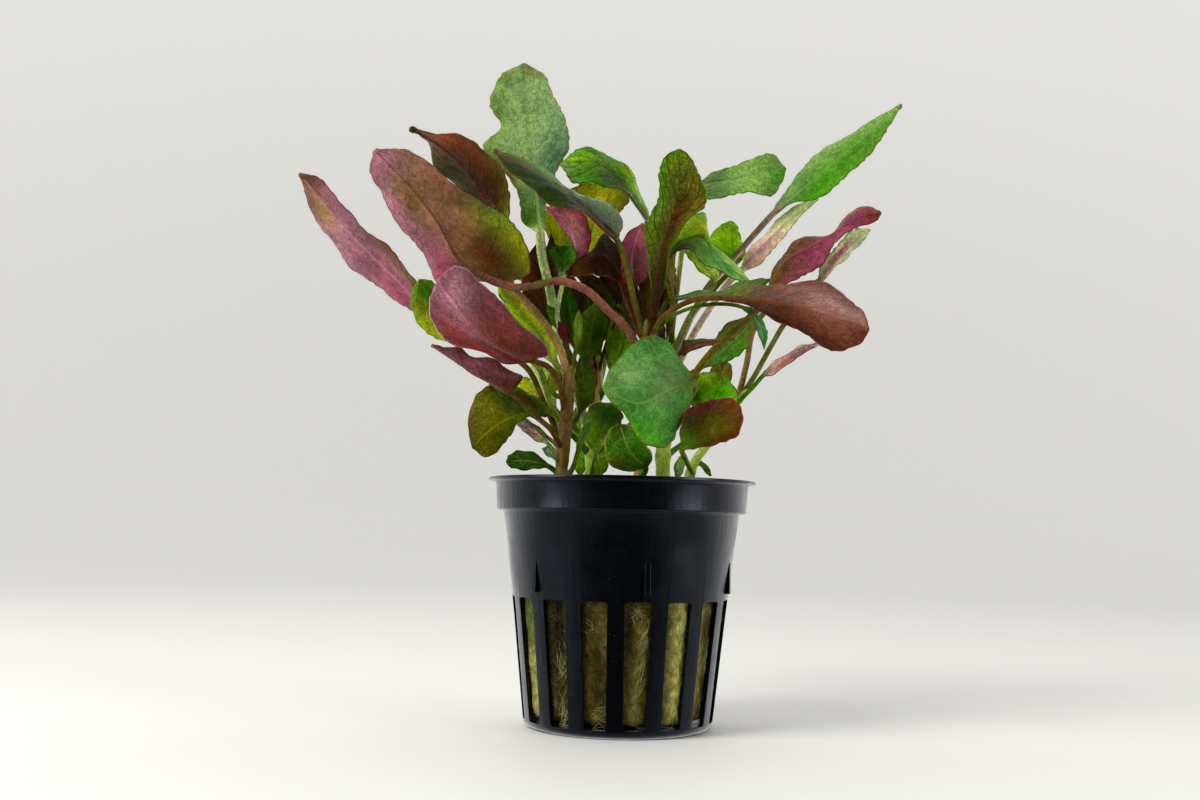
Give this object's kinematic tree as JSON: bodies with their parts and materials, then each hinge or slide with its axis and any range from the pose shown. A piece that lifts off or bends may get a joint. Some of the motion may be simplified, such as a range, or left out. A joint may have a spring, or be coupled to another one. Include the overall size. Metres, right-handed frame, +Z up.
{
  "type": "potted cardinal flower",
  "caption": "Young red-and-green leafed aquarium plant on upright stems, rooted in a rock wool plug inside a black slotted net pot.",
  "frame": {"origin": "middle of the flat underside of the net pot", "axes": "+Z up along the pot's axis, -Y towards the front seen in the picture, +X to the right from there"},
  "size_m": [0.1296, 0.0813, 0.1447],
  "materials": {
    "pot_plastic": "satin",
    "rock_wool": "matte",
    "stem_brown": "satin",
    "stem_pale": "satin",
    "leaf_purple": "satin",
    "leaf_maroon": "satin",
    "leaf_olive": "satin",
    "leaf_green": "satin",
    "leaf_dark_green": "satin",
    "leaf_bright_green": "satin",
    "leaf_pale_green": "satin",
    "leaf_pink": "satin"
  },
  "bodies": {
    "root": {"pot": "pot_plastic", "rock_wool": "rock_wool", "stem_left": "stem_brown", "stem_centre": "stem_brown", "stem_back": "stem_pale", "stem_middle": "stem_pale", "stem_right": "stem_pale", "leaf_far_left": "leaf_purple", "leaf_left_green": "leaf_bright_green", "leaf_left_lime": "leaf_bright_green", "leaf_big_left": "leaf_purple", "leaf_low_left": "leaf_purple", "leaf_low_left_narrow": "leaf_purple", "leaf_hanging_olive": "leaf_olive", "leaf_hanging_dark": "leaf_dark_green", "leaf_rim_left": "leaf_green", "leaf_top_left": "leaf_maroon", "leaf_top_pale": "leaf_pale_green", "leaf_long_folded": "leaf_green", "leaf_top_arching": "leaf_bright_green", "leaf_olive_behind": "leaf_olive", "leaf_purple_inner": "leaf_purple", "leaf_funnel": "leaf_dark_green", "leaf_maroon_curled": "leaf_maroon", "leaf_purple_centre": "leaf_purple", "leaf_tall_olive": "leaf_olive", "leaf_folded_right": "leaf_green", "leaf_small_bright": "leaf_bright_green", "leaf_lime_right": "leaf_bright_green", "leaf_soft_upper_right": "leaf_pale_green", "leaf_big_right": "leaf_green", "leaf_pink_right": "leaf_pink", "leaf_right_purple": "leaf_purple", "leaf_right_pale": "leaf_pale_green", "leaf_front_red": "leaf_purple", "leaf_edge_green": "leaf_dark_green", "leaf_front_centre": "leaf_green", "leaf_front_maroon": "leaf_maroon", "leaf_round_bright": "leaf_bright_green", "leaf_rim_centre": "leaf_green", "leaf_olive_right": "leaf_olive", "leaf_olive_small": "leaf_olive", "leaf_narrow_right": "leaf_purple", "leaf_behind_red": "leaf_olive", "leaf_small_maroon": "leaf_maroon", "leaf_dark_by_stem": "leaf_maroon", "leaf_dark_left": "leaf_dark_green", "leaf_faint_purple": "leaf_pink", "leaf_dark_low": "leaf_dark_green", "leaf_inner_left": "leaf_dark_green", "leaf_inner_right": "leaf_dark_green", "leaf_back_left": "leaf_purple", "leaf_back_top": "leaf_green", "leaf_back_centre": "leaf_olive", "leaf_back_right": "leaf_purple", "leaf_back_low_left": "leaf_green", "leaf_back_low_centre": "leaf_olive", "leaf_back_low_right": "leaf_green", "leaf_back_upper": "leaf_bright_green"}
  },
  "joints": []
}
